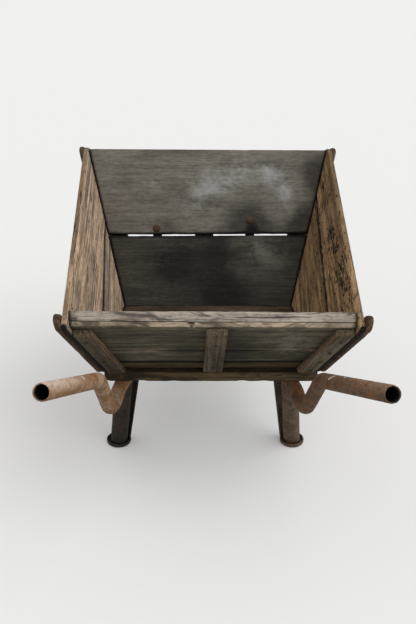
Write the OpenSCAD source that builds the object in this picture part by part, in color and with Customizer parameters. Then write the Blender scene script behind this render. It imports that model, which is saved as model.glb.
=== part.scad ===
// Old wooden hopper wheelbarrow on a bent gas-pipe frame.
// +Y points forwards to the wheel, +X to the right of a person at the handles, +Z up.
// The origin is on the ground, under the middle of the barrow.

/* [Hopper] */
// Width between the side boards at the top of the tailboard
rim_w = 620; // [560:5:700]
// Width between the side boards at the floor, rear end
floor_w_rear = 486; // [440:2:520]
// Width between the side boards at the floor, front end
floor_w_front = 442; // [400:2:480]
// Length of the floor between tailboard and headboard
floor_len = 254; // [220:2:320]
// Height of the floor's upper face above the ground
floor_z = 291; // [285:1:320]
// Lean of the tailboard from upright, towards the handles
tail_lean = 35; // [20:1:42]
// Height of the tailboard, measured up its slope
tail_slope = 226; // [180:2:260]
// Lean of the headboard from upright, towards the wheel
head_lean = 27.3; // [15:0.1:32]
// Height of the headboard, measured up its slope
head_slope = 406; // [340:2:430]
// The hopper sits this far to the right on the frame
hopper_shift = 8; // [0:1:12]
// The hopper is turned this far on the frame
hopper_turn = 0.4; // [0:0.1:1]
// The tailboard's top edge is out of level by this much at each end
rim_skew = 4; // [0:1:8]

/* [Boards] */
// Thickness of the side boards
side_t = 11; // [10:0.5:22]
// Thickness of the headboard planks
head_t = 22; // [18:1:26]
// Thickness of the tailboard's inner planks
tail_inner_t = 25; // [20:1:28]
// Thickness of the tailboard's outer planks
tail_outer_t = 13; // [9:1:18]
// Thickness of the floor boards
floor_t = 18; // [15:1:22]
// Number of boards across the floor
floor_boards = 3; // [2:1:4]
// Gap between boards that have shrunk
shrink_gap = 1.5; // [1:0.5:3]
// Gap between the two planks of a side board, which fit closely
side_gap = 0.3; // [0.1:0.1:2]
// Open gap between the two headboard planks
head_gap = 4; // [3:0.5:12]
// Height of the headboard's gap, measured up its slope
head_gap_v = 181; // [150:1:210]
// How far the side boards run past the headboard and tailboard
side_over = 15; // [10:1:20]
// Rounding of the side boards' top corners at the headboard
front_corner_r = 22; // [8:1:30]
// Rounding of the side boards' top corners at the tailboard
rear_corner_r = 10; // [6:1:20]

/* [Battens and cleats] */
// Thickness of the battens outside the side boards
batten_t = 12; // [10:1:20]
// Width of those battens
batten_w = 40; // [30:1:46]
// How far the rear battens' rounded heads stand up past the rim
rear_batten_rise = 14; // [-10:1:20]
// How far the front battens' rounded heads stay below the rim
front_batten_drop = 8; // [0:1:20]
// Thickness of the cleats that hold the planks together
cleat_t = 18; // [14:1:22]
// Width of the tailboard's end cleats
tail_cleat_w = 38; // [30:1:44]
// Width of the tailboard's centre cleat
tail_mid_cleat_w = 45; // [36:1:52]
// Width of the headboard's end cleats
head_cleat_w = 40; // [30:1:56]
// Width of the headboard's centre cleat
head_mid_cleat_w = 50; // [36:1:56]

/* [Cross beams] */
// Thickness of both beams under the floor
beam_t = 25; // [22:1:30]
// Width of both beams along the barrow
beam_w = 80; // [70:1:90]
// Length of the rear beam
rear_beam_l = 500; // [480:1:540]
// Length of the front beam
front_beam_l = 430; // [380:1:460]

/* [Pipe frame] */
// Outside diameter of the one-inch gas pipe
pipe_d = 33.7; // [33.7:0.1:34]
// Wall of the gas pipe
pipe_wall = 3.2; // [2.6:0.1:4]
// Radius of the pipe bends, to the middle of the pipe
bend_r = 72; // [60:1:73]
// Flats round a bent pipe
pipe_sides = 32; // [24:4:40]
// Steps round each bend
bend_steps = 6; // [4:1:10]
// Height of the left grip's end
left_grip_z = 527; // [500:1:560]
// Height of the right grip's end
right_grip_z = 523; // [500:1:560]
// Left grip's end, out from the middle
left_grip_x = 297; // [270:1:310]
// Right grip's end, out from the middle
right_grip_x = 305; // [270:1:310]
// Outside diameter of the leg tubes
leg_d = 42.4; // [38:0.1:48.3]
// Wall of the leg tubes
leg_wall = 3.2; // [2.6:0.1:4]
// How far each leg tube is sunk into the weld under its shaft
weld_depth = 4; // [2:0.5:6]
// Height of the channel section of the leg stays
stay_w = 24; // [20:1:26]
// Radius of the dished foot plates
foot_r = 31; // [29:0.5:34]
// Height of the foot plates' upturned rim
foot_h = 11; // [8:1:14]

/* [Front stays] */
// Width of the iron straps up the headboard
strap_w = 24; // [20:1:30]
// Thickness of those straps
strap_t = 5; // [4:0.5:6]

/* [Wheel] */
// Radius of the wheel
wheel_r = 200; // [190:1:205]
// Width of the iron tyre
tyre_w = 45; // [38:1:50]
// Thickness of the iron tyre
tyre_t = 6; // [5:0.5:8]
// Number of spokes
spokes = 8; // [8:2:12]
// Diameter of the spokes
spoke_d = 12; // [10:0.5:14]
// Diameter of the axle
axle_d = 16; // [14:0.5:20]
// Gap all round between the axle and the hub's bore
axle_gap = 0.08; // [0.02:0.01:0.1]

/* [Hidden] */

wood_inside = "#6b5a48";
wood_side = "#8a6c46";
wood_tail = "#5f5340";
rust = "#7a5440";
rust_dark = "#4a3a32";

BIG = 2000;
tail_t = tail_inner_t + tail_outer_t;
half_gap = shrink_gap / 2;
floor_bottom = floor_z - floor_t;
tail_y = -85;
head_y = tail_y + floor_len;
tail_top = [tail_y - tail_slope * sin(tail_lean), floor_z + tail_slope * cos(tail_lean)];
head_top = [head_y + head_slope * sin(head_lean), floor_z + head_slope * cos(head_lean)];
rim_rise = (head_top[1] - tail_top[1]) / (head_top[0] - tail_top[0]);
side_taper = atan((floor_w_rear - floor_w_front) / 2 / floor_len);
floor_w_at_tail_top = floor_w_rear + 2 * (tail_y - tail_top[0]) * tan(side_taper);
side_flare = (rim_w - floor_w_at_tail_top) / 2 / (tail_top[1] - floor_z);
side_lean = atan(side_flare * cos(side_taper));

pipe_r = pipe_d / 2;
pipe_under = -beam_t - pipe_d;
shaft_z = floor_bottom - beam_t - pipe_r;
shaft_dip = 25;
shaft_x_at = function(y) 200 - (y + 116) * 0.2765;
grip_y = -605;
foot_x = 222;
foot_y = -33;
foot_t = 4;
leg_top = [199, -88, shaft_z];
stay_foot = [205, -9, foot_t];
stay_top = [172, -4, shaft_z];
stay_depth = 12;
stay_wall = 3.5;

axle_y = 414;
plate_t = 6;
plate_x = 58 - pipe_r - plate_t;
washer_t = 2.5;
axle_half = plate_x + plate_t + 14;
pin_x = plate_x + plate_t + 4.6;
pin_r = 1.6;
pin_gap = 0.1;
pin_eye_r = 2.8;
hub_half = plate_x - washer_t - 0.5;
hub_r = 25;
hub_neck_r = 18;
tyre_edge = 1.5;
plate_r = 24;

bolt_r = 4;
bolt_gap = 0.2;
thread_gap = 0.05;
bolt_end = 5;
nut_r = 8;
nut_h = 6.5;
beam_washer_r = 10;
beam_washer_t = 2;
sunk_head_r = 9;
sunk_head_h = 4;
recess_r = 10;
recess_h = 5;
strap_x = 122;
strap_shift = -5;
strap_toe = 55;
stay_bolt_v = [199, 221];
rear_bolt_y = -118;
front_bolt_y = 141;
nail_r = 1.6;
nail_gap = 0.1;
nail_head_r = 4;
nail_head_h = 1.4;
side_nail_l = 22;

gap_tilt = 3;
head_low = [head_gap_v - gap_tilt, head_gap_v + gap_tilt];
head_high = [head_low[0] + head_gap, head_low[1] + head_gap];
head_cleat_low = 8;
head_cleat_high = 392;
head_mid_x = -10;
head_nail_v = [40, 130, 230, 320, 370];
// Each side joint's height where y is 0, and its climb.
left_joint = [365, 0.424];
right_joint = [417, 0.41];
rear_nail_v = [24, 84, 150];
front_nail_v = [30, 110, 190, 280, 345];
tail_inner_joint = 112;
tail_outer_joint = 104;
tail_strip_top = 42;
tail_cleat_low = 2;
tail_cleat_high = 217;
tail_mid_x = 2;
tail_mid_tilt = 1;
tail_mid_low = 22;
tail_mid_high = 222;
notch_x = -47;
notch_w = 11;
notch_h = 9;
rear_beam_y = -137;
front_beam_y = 101;

// ---------- places in the hopper ----------

// Height on the tailboard's or headboard's plane gives the distance along the barrow.
function tail_line(z, out) = tail_y - (z - floor_z) * tan(tail_lean) - out / cos(tail_lean);
function head_line(z, out) = head_y + (z - floor_z) * tan(head_lean) + out / cos(head_lean);
// Where a leaning line y = y0 + k (z - floor_z) meets the rim.
function rim_meet(y0, k, skew) =
    let (m = rim_rise - skew / (head_top[0] - tail_top[0]),
         c = tail_top[1] + skew - tail_top[0] * m,
         y = (y0 + k * (c - floor_z)) / (1 - k * m))
    [y, c + m * y];
function rear_meet(out, skew) = rim_meet(tail_y - out / cos(tail_lean), -tan(tail_lean), skew);
function front_meet(out, skew) = rim_meet(head_y + out / cos(head_lean), tan(head_lean), skew);

module hopper_place() translate([hopper_shift, 0, 0]) rotate([0, 0, hopper_turn]) children();

// Local x outwards, y forwards along the floor's edge, z up the slope.
module side_place()
    translate([floor_w_rear / 2, tail_y, floor_z])
        rotate([0, 0, side_taper]) rotate([0, side_lean, 0]) children();

// Local x across, y up the slope, z outwards.
module tail_place() translate([0, tail_y, floor_z]) rotate([90 + tail_lean, 0, 0]) children();

// Local x across, y up the slope, z inwards.
module head_place() translate([0, head_y, floor_z]) rotate([90 - head_lean, 0, 0]) children();

// Everything between the side boards, drawn in from them by a gap.
module between_sides(gap = 0) {
    intersection() {
        side_place() translate([-BIG - gap, -BIG / 2, -BIG / 2]) cube(BIG);
        mirror([1, 0, 0]) side_place() translate([-BIG - gap, -BIG / 2, -BIG / 2]) cube(BIG);
    }
}

// Everything above the underside of the floor.
module above_floor_bottom() translate([-BIG / 2, -BIG / 2, floor_bottom]) cube(BIG);

// A shape drawn in the plane of height against distance, run across the barrow.
module across(points) rotate([90, 0, 90]) translate([0, 0, -BIG / 2]) linear_extrude(BIG) polygon(points);

// ---------- floor ----------

module floor_board(i) {
    pitch = floor_len / floor_boards;
    lo = i == 0 ? 0 : i * pitch + half_gap;
    hi = i == floor_boards - 1 ? floor_len : (i + 1) * pitch - half_gap;
    rear = i == 0 ? tail_line(floor_bottom, 0) : tail_y + lo;
    front = i == floor_boards - 1 ? head_line(floor_bottom, 0) : tail_y + hi;
    color(wood_inside) difference() {
        hopper_place() intersection() {
            across([[tail_y + lo, floor_z], [tail_y + hi, floor_z],
                    [front, floor_bottom], [rear, floor_bottom]]);
            between_sides();
        }
        floor_nail_places() nail_hole(30);
    }
}
module floor_rear_board() floor_board(0);
module floor_middle_board() floor_board(1);
module floor_front_board() floor_board(floor_boards - 1);

// ---------- headboard ----------

// A flat blank on the headboard: v0 and v1 are its left and right lower corners up the slope.
module head_blank(low, high, depth, t) {
    head_place() translate([0, 0, -depth - t]) linear_extrude(t)
        polygon([[-BIG / 4, low[0]], [BIG / 4, low[1]], [BIG / 4, high[1]], [-BIG / 4, high[0]]]);
}

module headboard_lower_plank() {
    color(wood_inside) hopper_place() difference() {
        intersection() {
            head_blank([-60, -60], head_low, 0, head_t);
            between_sides();
            above_floor_bottom();
        }
        headboard_nail_places() nail_hole(60);
    }
}
module headboard_upper_plank() {
    color(wood_inside) difference() {
        hopper_place() difference() {
            intersection() {
                head_blank(head_high, [head_slope, head_slope], 0, head_t);
                between_sides();
            }
            headboard_nail_places() nail_hole(60);
        }
        stay_bolt_places() stay_bolt_hole();
    }
}

// Cleats outside the headboard, which stop short of its top and bottom edges.
module head_end_cleat(s) {
    color(wood_tail) hopper_place() difference() {
        intersection() {
            head_blank([1, 1] * head_cleat_low, [1, 1] * head_cleat_high, head_t, cleat_t);
            between_sides(2);
            scale_x(s) translate([0, -BIG / 2, 0]) cube(BIG);
        }
        between_sides(2 + head_cleat_w);
        headboard_nail_places() nail_hole(60);
    }
}
module scale_x(s) if (s < 0) mirror([1, 0, 0]) children(); else children();
module headboard_left_cleat() head_end_cleat(-1);
module headboard_right_cleat() head_end_cleat(1);
module headboard_centre_cleat() {
    color(wood_tail) hopper_place() difference() {
        head_place() translate([head_mid_x - head_mid_cleat_w / 2, head_cleat_low, -head_t - cleat_t])
            cube([head_mid_cleat_w, head_cleat_high - head_cleat_low, cleat_t]);
        headboard_nail_places() nail_hole(60);
    }
}

// ---------- sides ----------

// A rounded corner at c between the directions d1 and d2, as points.
function corner(c, d1, d2, r, n = 6) =
    let (u = d1 / norm(d1), w = d2 / norm(d2), half = acos(u * w) / 2,
         t = r / tan(half), m = (u + w) / norm(u + w), o = c + m * r / sin(half),
         a0 = atan2((c + u * t - o)[1], (c + u * t - o)[0]),
         a1 = atan2((c + w * t - o)[1], (c + w * t - o)[0]),
         da = a1 - a0 > 180 ? a1 - a0 - 360 : a1 - a0 < -180 ? a1 - a0 + 360 : a1 - a0)
    [for (i = [0:n]) o + r * [cos(a0 + da * i / n), sin(a0 + da * i / n)]];

// The side board's outline, from its lower rear corner round to its lower front corner.
function side_outline(skew) =
    let (rear_out = tail_t + side_over, front_out = head_t + side_over,
         rb = [tail_line(floor_bottom, rear_out), floor_bottom], rt = rear_meet(rear_out, skew),
         ft = front_meet(front_out, skew), fb = [head_line(floor_bottom, front_out), floor_bottom])
    concat([rb], corner(rt, rb - rt, ft - rt, rear_corner_r),
           corner(ft, rt - ft, fb - ft, front_corner_r), [fb]);

module side_slab(depth, t)
    side_place() translate([depth, -BIG / 2, -BIG / 4]) cube([t, BIG, BIG / 2]);

// The joint between a side's two planks is a straight line that climbs forwards.
module side_plank(s, joint, upper) {
    cut = side_gap / 2 * (upper ? 1 : -1);
    far = upper ? BIG / 2 : -BIG / 4;
    z = function(y) joint[0] + joint[1] * y + cut;
    color(wood_side) hopper_place() difference() {
        scale_x(s) intersection() {
            side_slab(0, side_t);
            across(side_outline(-s * rim_skew));
            across([[-600, z(-600)], [600, z(600)], [600, far], [-600, far]]);
        }
        side_nail_places(s) nail_hole(40);
    }
}
module left_side_lower_plank() side_plank(-1, left_joint, false);
module left_side_upper_plank() side_plank(-1, left_joint, true);
module right_side_lower_plank() side_plank(1, right_joint, false);
module right_side_upper_plank() side_plank(1, right_joint, true);

// A batten runs up the outside of a side board and ends in a rounded head at the rim.
module side_batten(s, rear) {
    lean = rear ? -tail_lean : head_lean;
    out = (rear ? tail_t : head_t) + side_over - batten_w / 2;
    top = rear ? rear_meet(out, -s * rim_skew) : front_meet(out, -s * rim_skew);
    foot = [rear ? tail_line(floor_bottom, out) : head_line(floor_bottom, out), floor_bottom];
    up = [sin(lean), cos(lean)];
    side = [cos(lean), -sin(lean)] * batten_w / 2;
    head = top + up * ((rear ? rear_batten_rise : -front_batten_drop) - batten_w / 2);
    low = foot - up * 60;
    color(wood_tail) hopper_place() difference() {
        scale_x(s) intersection() {
            side_slab(side_t, batten_t);
            union() {
                across([low - side, low + side, head + side, head - side]);
                rotate([90, 0, 90]) translate([head[0], head[1], -BIG / 2])
                    cylinder(h = BIG, r = batten_w / 2, $fn = 48);
            }
            above_floor_bottom();
        }
        side_nail_places(s) nail_hole(40);
    }
}
module left_rear_batten() side_batten(-1, true);
module left_front_batten() side_batten(-1, false);
module right_rear_batten() side_batten(1, true);
module right_front_batten() side_batten(1, false);

// ---------- tailboard ----------

// Its planks are trapezoids between the side boards. Heights run up the slope.
module tail_blank(low, high, depth, t) {
    tail_place() translate([0, 0, depth]) linear_extrude(t)
        polygon([[-BIG / 4, low], [BIG / 4, low], [BIG / 4, high], [-BIG / 4, high]]);
}
// The top edge drops from left to right.
module tail_top_cut() {
    tilt = atan(2 * rim_skew / rim_w);
    tail_place() translate([0, tail_slope, 0]) rotate([0, 0, -tilt])
        translate([-BIG / 2, 0, -BIG / 4]) cube(BIG);
}
module tail_plank(low, high, depth, t, clear = 0) {
    color(wood_tail) hopper_place() difference() {
        intersection() {
            tail_blank(low, high, depth, t);
            between_sides(clear);
            above_floor_bottom();
        }
        tail_top_cut();
        tail_nail_places() nail_hole(60);
    }
}
module tail_inner_lower_plank() tail_plank(-60, tail_inner_joint - half_gap, 0, tail_inner_t);
module tail_inner_upper_plank() tail_plank(tail_inner_joint + half_gap, tail_slope + 20, 0, tail_inner_t);
module tail_outer_plank(low, high) tail_plank(low, high, tail_inner_t, tail_outer_t, clear = 1);
module tail_outer_bottom_strip() tail_outer_plank(-60, tail_strip_top - half_gap);
module tail_outer_lower_plank()
    tail_outer_plank(tail_strip_top + half_gap, tail_outer_joint - half_gap);
// A notch is broken out of the outer plank's top edge, left of the centre cleat.
module tail_outer_upper_plank() {
    difference() {
        tail_outer_plank(tail_outer_joint + half_gap, tail_slope + 20);
        hopper_place() tail_place() translate([notch_x - notch_w / 2, tail_slope - notch_h, tail_inner_t - 1])
            cube([notch_w, 2 * notch_h, tail_outer_t + 2]);
    }
}
module tail_end_cleat(s) {
    color(wood_tail) hopper_place() difference() {
        intersection() {
            tail_blank(tail_cleat_low, tail_cleat_high, tail_t, cleat_t);
            between_sides(3);
            above_floor_bottom();
            scale_x(s) translate([0, -BIG / 2, 0]) cube(BIG);
        }
        between_sides(3 + tail_cleat_w);
        tail_nail_places() nail_hole(60);
    }
}
module tail_left_cleat() tail_end_cleat(-1);
module tail_right_cleat() tail_end_cleat(1);
module tail_centre_cleat() {
    color(wood_tail) hopper_place() difference() {
        tail_place() translate([tail_mid_x, tail_mid_low, tail_t]) rotate([0, 0, -tail_mid_tilt])
            translate([-tail_mid_cleat_w / 2, 0, 0])
                cube([tail_mid_cleat_w, tail_mid_high - tail_mid_low, cleat_t]);
        tail_nail_places() nail_hole(60);
    }
}

// ---------- cross beams ----------

module cross_beam(y, l) {
    color(wood_tail) difference() {
        translate([hopper_shift - l / 2, y, floor_bottom - beam_t]) cube([l, beam_w, beam_t]);
        beam_bolt_holes();
        beam_bolt_places() translate([0, 0, -recess_h]) cylinder(h = recess_h + 1, r = recess_r, $fn = 48);
        floor_nail_places() nail_hole(30);
    }
}
module rear_cross_beam() cross_beam(rear_beam_y, rear_beam_l);
module front_cross_beam() cross_beam(front_beam_y, front_beam_l);

// ---------- pipe frame ----------

function unit(v) = v / norm(v);
function dir(p, i) = unit(p[i + 1] - p[i]);
// Length of straight that a bend takes up on each side of its corner.
function take_up(p, i) = i <= 0 || i >= len(p) - 1 ? 0 : bend_r * tan(acos(dir(p, i - 1) * dir(p, i)) / 2);

// A round bar from a to b.
module rod(a, b, r) {
    d = b - a;
    translate(a) rotate([0, acos(d[2] / norm(d)), atan2(d[1], d[0])])
        rotate(45) cylinder(h = norm(d), r = r, $fn = 48);
}
// Towards the inside of the bend at corner i, square to the pipe that comes in.
function inside(p, i) =
    let (u = dir(p, i - 1), w = dir(p, i)) unit(w - (w * u) * u);
function bend_angle(p, i) = acos(dir(p, i - 1) * dir(p, i));
// Centre-line points with their directions, stepped round each bend.
function bend_stations(p, i) =
    let (u = dir(p, i - 1), n = inside(p, i), start = p[i] - u * take_up(p, i))
    [for (k = [0 : bend_steps]) let (t = bend_angle(p, i) * k / bend_steps)
        [start + bend_r * (n * (1 - cos(t)) + u * sin(t)), u * cos(t) + n * sin(t)]];
function stations(p) = concat(
    [[p[0], dir(p, 0)]],
    [for (i = [1 : len(p) - 2]) each bend_stations(p, i)],
    [[p[len(p) - 1], dir(p, len(p) - 2)]]);
// A direction square to the bar at station i, carried along without twist.
function square_to(st, i, first) =
    i == 0 ? first : let (v = square_to(st, i - 1, first), t = st[i][1]) unit(v - (v * t) * t);
function ring(c, t, x, r) = [for (k = [0 : pipe_sides - 1]) let (a = 360 * k / pipe_sides)
    c + r * (cos(a) * x + sin(a) * cross(t, x))];

// A bent pipe along corners p, its bore left open at both ends.
module bent_pipe(p, r, wall) {
    st = stations(p);
    last = len(st) - 1;
    x = [for (i = [0 : last]) square_to(st, i, inside(p, 1))];
    n = pipe_sides;
    bore = n * (last + 1);
    skins = [for (radius = [r, r - wall], i = [0 : last]) each ring(st[i][0], st[i][1], x[i], radius)];
    outer_faces = [for (i = [0 : last - 1], k = [0 : n - 1])
        let (a = i * n + k, b = i * n + (k + 1) % n) each [[a, a + n, b + n], [a, b + n, b]]];
    bore_faces = [for (f = outer_faces) [f[0] + bore, f[2] + bore, f[1] + bore]];
    start_faces = [for (k = [0 : n - 1])
        let (b = (k + 1) % n) each [[k, b, b + bore], [k, b + bore, k + bore]]];
    end_faces = [for (f = start_faces) [f[0] + last * n, f[2] + last * n, f[1] + last * n]];
    polyhedron(skins, concat(outer_faces, bore_faces, start_faces, end_faces));
}

// Corners of one pipe from the axle to the grip, for the right side.
function pipe_corners(grip_x, grip_z) = [
    [58, 456, shaft_z],
    [58, 397, shaft_z],
    [206.9, -141, shaft_z],
    [220, -206, shaft_z - shaft_dip],
    [232, -323, 371],
    [grip_x, grip_y, grip_z]
];
module handle_pipe(s, grip_x, grip_z) {
    p = pipe_corners(grip_x, grip_z);
    color(rust) difference() {
        scale_x(s) bent_pipe(p, pipe_r, pipe_wall);
        beam_bolt_holes();
    }
}
module left_handle_pipe() handle_pipe(-1, left_grip_x, left_grip_z);
module right_handle_pipe() handle_pipe(1, right_grip_x, right_grip_z);

// The stretch of pipe under the hopper, as a solid to cut against.
module shaft_core() rod([58, 397, shaft_z], [200, -116, shaft_z], pipe_r);

// The leg's top end is cut level and sunk into the underside of the shaft, where it is welded.
module leg_tube(s) {
    a = [foot_x, foot_y, foot_t];
    d = unit(leg_top - a);
    color(rust_dark) scale_x(s) difference() {
        intersection() {
            rod(a - d * 20, leg_top, leg_d / 2);
            translate([0, -BIG / 2, foot_t]) cube([BIG, BIG, shaft_z - pipe_r + weld_depth - foot_t]);
        }
        rod(a - d * 40, leg_top + d * 20, leg_d / 2 - leg_wall);
    }
}
module left_leg_tube() leg_tube(-1);
module right_leg_tube() leg_tube(1);

// A pressed channel, open to the rear, from the foot plate up to the shaft.
module leg_stay(s) {
    d = stay_top - stay_foot;
    l = norm(d);
    color(rust_dark) scale_x(s) difference() {
        intersection() {
            translate(stay_foot) rotate([0, atan(d[0] / d[2]), 0]) rotate([-atan(d[1] / d[2]), 0, 0])
                translate([-stay_w / 2, -stay_depth, -20]) difference() {
                    cube([stay_w, stay_depth, l + 20]);
                    translate([stay_wall, -1, -1])
                        cube([stay_w - 2 * stay_wall, stay_depth - stay_wall + 1, l + 22]);
                }
            translate([0, -BIG / 2, foot_t]) cube([BIG, BIG, shaft_z - foot_t]);
        }
        shaft_core();
        leg_room();
    }
}
// The stay is cut away where it would meet the leg tube.
module leg_room() {
    a = [foot_x, foot_y, foot_t];
    d = unit(leg_top - a);
    rod(a - d * 40, leg_top + d * 20, leg_d / 2 + 0.5);
}
module left_leg_stay() leg_stay(-1);
module right_leg_stay() leg_stay(1);

module foot_plate(s) {
    color(rust) scale_x(s) translate([foot_x, foot_y, 0]) rotate_extrude($fn = 72)
        polygon([[0, 0], [foot_r - 4, 0], [foot_r, 4], [foot_r, foot_h], [foot_r - 3.5, foot_h],
                 [foot_r - 3.5, foot_t + 1.5], [foot_r - 5, foot_t], [0, foot_t]]);
}
module left_foot_plate() foot_plate(-1);
module right_foot_plate() foot_plate(1);

// ---------- front stays ----------

// A flat iron strap up the headboard's outer face, turned out over the shaft at its foot.
module front_stay(s) {
    v_top = stay_bolt_v[s < 0 ? 0 : 1] + 18;
    top_z = floor_z + v_top * cos(head_lean) - head_t * sin(head_lean);
    tip_z = top_z - strap_t * sin(head_lean);
    foot_top = shaft_z + pipe_r + strap_t;
    knee = floor_bottom - 2;
    heel_y = head_line(knee, head_t);
    toe_y = head_line(knee - 2, head_t + strap_t);
    color(rust) difference() {
        intersection() {
            hopper_place() across([
                [heel_y, knee], [head_line(top_z, head_t), top_z], [head_line(tip_z, head_t + strap_t), tip_z],
                [toe_y, knee - 2], [toe_y, foot_top], [heel_y + strap_toe, foot_top],
                [heel_y + strap_toe, foot_top - strap_t], [heel_y, foot_top - strap_t]
            ]);
            translate([s * strap_x + strap_shift - strap_w / 2, -BIG / 2, 0]) cube([strap_w, BIG, BIG]);
        }
        scale_x(s) shaft_core();
        stay_bolt_places() stay_bolt_hole();
    }
}
module left_front_stay() front_stay(-1);
module right_front_stay() front_stay(1);

// Coach bolts through the headboard and the straps: local z points into the hopper.
module stay_bolt_places() {
    hopper_place() for (i = [0, 1])
        head_place() translate([(i == 0 ? -1 : 1) * strap_x + strap_shift - hopper_shift, stay_bolt_v[i], 0])
            children();
}
module stay_bolt_hole() translate([0, 0, -head_t - 3 * strap_t])
    cylinder(h = head_t + 4 * strap_t, r = bolt_r + bolt_gap, $fn = 32);
module stay_bolts() {
    reach = head_t + strap_t + nut_h + bolt_end;
    color(rust) stay_bolt_places() {
        translate([0, 0, -reach]) cylinder(h = reach, r = bolt_r, $fn = 32);
        domed_head(10, 5);
    }
}
module nut() {
    difference() {
        cylinder(h = nut_h, r = nut_r, $fn = 6);
        translate([0, 0, -1]) cylinder(h = nut_h + 2, r = bolt_r + thread_gap, $fn = 32);
    }
}
module stay_nuts()
    color(rust_dark) stay_bolt_places() translate([0, 0, -head_t - strap_t - nut_h]) nut();

// A shallow dome of radius r and height h, flat side down.
module domed_head(r, h) {
    ball = (r * r + h * h) / (2 * h);
    intersection() {
        translate([0, 0, h - ball]) sphere(r = ball, $fn = 96);
        cylinder(h = h + 1, r = r, $fn = 64);
    }
}

// ---------- bolts through beams and pipes ----------

// Their flat heads are let into the top of each beam. Places are on the beam's upper face.
module beam_bolt_places() {
    for (s = [-1, 1], y = [rear_bolt_y, front_bolt_y])
        translate([s * shaft_x_at(y), y, floor_bottom]) children();
}
module beam_bolt_holes()
    beam_bolt_places() translate([0, 0, -beam_t - 2 * pipe_d])
        cylinder(h = beam_t + 2 * pipe_d + 1, r = bolt_r + bolt_gap, $fn = 32);
module beam_bolts() {
    low = pipe_under - beam_washer_t - nut_h - bolt_end;
    color(rust) beam_bolt_places() {
        translate([0, 0, low]) cylinder(h = -recess_h - low, r = bolt_r, $fn = 32);
        translate([0, 0, -recess_h]) cylinder(h = sunk_head_h, r = sunk_head_r, $fn = 48);
    }
}
// Each washer is pulled up onto the round of the pipe and stays flat.
module beam_washers() {
    color(rust_dark) beam_bolt_places() translate([0, 0, pipe_under - beam_washer_t]) difference() {
        cylinder(h = beam_washer_t, r = beam_washer_r, $fn = 48);
        translate([0, 0, -1]) cylinder(h = beam_washer_t + 2, r = bolt_r + bolt_gap, $fn = 32);
    }
}
module beam_nuts()
    color(rust_dark) beam_bolt_places() translate([0, 0, pipe_under - beam_washer_t - nut_h]) nut();

// ---------- wheel and axle ----------

// A plate welded inside the end of each pipe, with the axle's hole below the pipe.
module axle_plate(s) {
    color(rust) scale_x(s) translate([plate_x, axle_y, wheel_r]) rotate([90, 0, 90]) difference() {
        union() {
            cylinder(h = plate_t, r = plate_r, $fn = 64);
            translate([-plate_r, 0, 0]) cube([2 * plate_r, shaft_z - wheel_r + 12, plate_t]);
        }
        translate([0, 0, -1]) cylinder(h = plate_t + 2, r = axle_d / 2 + 0.02, $fn = 48);
    }
}
module left_axle_plate() axle_plate(-1);
module right_axle_plate() axle_plate(1);

module axle() {
    color(rust_dark) difference() {
        translate([-axle_half, axle_y, wheel_r]) rotate([0, 90, 0])
            cylinder(h = 2 * axle_half, r = axle_d / 2, $fn = 64);
        for (s = [-1, 1]) translate([s * pin_x, axle_y, wheel_r - axle_d])
            cylinder(h = 2 * axle_d, r = pin_r + pin_gap, $fn = 24);
    }
}
// A straight pin with an eye that stands clear of the axle.
module split_pins() {
    color(rust) for (s = [-1, 1]) translate([s * pin_x, axle_y, wheel_r]) {
        translate([0, 0, -axle_d / 2 - 5]) cylinder(h = axle_d + 7, r = pin_r, $fn = 24);
        translate([0, 0, axle_d / 2 + pin_eye_r + pin_r + 0.2]) rotate([90, 0, 0])
            rotate_extrude($fn = 40) translate([pin_eye_r, 0]) circle(r = pin_r, $fn = 24);
    }
}
module axle_washers() {
    color(rust_dark) for (s = [-1, 1]) scale_x(s)
        translate([plate_x - washer_t, axle_y, wheel_r]) rotate([0, 90, 0]) difference() {
            cylinder(h = washer_t, r = 15, $fn = 48);
            translate([0, 0, -1]) cylinder(h = washer_t + 2, r = axle_d / 2 + 0.1, $fn = 48);
        }
}

// Wheel parts are turned about the axle.
module wheel_place() translate([0, axle_y, wheel_r]) rotate([0, 90, 0]) children();
module wheel_tyre() {
    inner = wheel_r - tyre_t;
    color(rust) wheel_place() rotate_extrude($fn = 120)
        polygon([[inner, -tyre_w / 2], [wheel_r - tyre_edge, -tyre_w / 2], [wheel_r, -tyre_w / 2 + tyre_edge],
                 [wheel_r, tyre_w / 2 - tyre_edge], [wheel_r - tyre_edge, tyre_w / 2], [inner, tyre_w / 2]]);
}
module wheel_hub() {
    color(rust_dark) wheel_place() rotate_extrude($fn = 72)
        polygon([[axle_d / 2 + axle_gap, -hub_half], [hub_neck_r, -hub_half], [hub_neck_r, -20], [hub_r, -18],
                 [hub_r, 18], [hub_neck_r, 20], [hub_neck_r, hub_half], [axle_d / 2 + axle_gap, hub_half]]);
}
module wheel_spokes() {
    color(rust) wheel_place() for (i = [0:spokes - 1]) rotate([0, 0, (i + 0.5) * 360 / spokes]) intersection() {
        translate([hub_r - 5, 0, 0]) rotate([0, 90, 0])
            cylinder(h = wheel_r - hub_r, r = spoke_d / 2, $fn = 32);
        difference() {
            translate([0, 0, -20]) cylinder(h = 40, r = wheel_r - tyre_t, $fn = 120);
            translate([0, 0, -21]) cylinder(h = 42, r = hub_r, $fn = 72);
        }
    }
}

// ---------- nails ----------

// Local z points out of the wood: the shank goes in, the head lies on the surface.
module nail(depth) {
    translate([0, 0, -depth]) cylinder(h = depth, r = nail_r, $fn = 16);
    cylinder(h = nail_head_h, r = nail_head_r, $fn = 24);
}
module nail_hole(depth)
    translate([0, 0, -depth]) cylinder(h = depth + 30, r = nail_r + nail_gap, $fn = 16);

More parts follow.
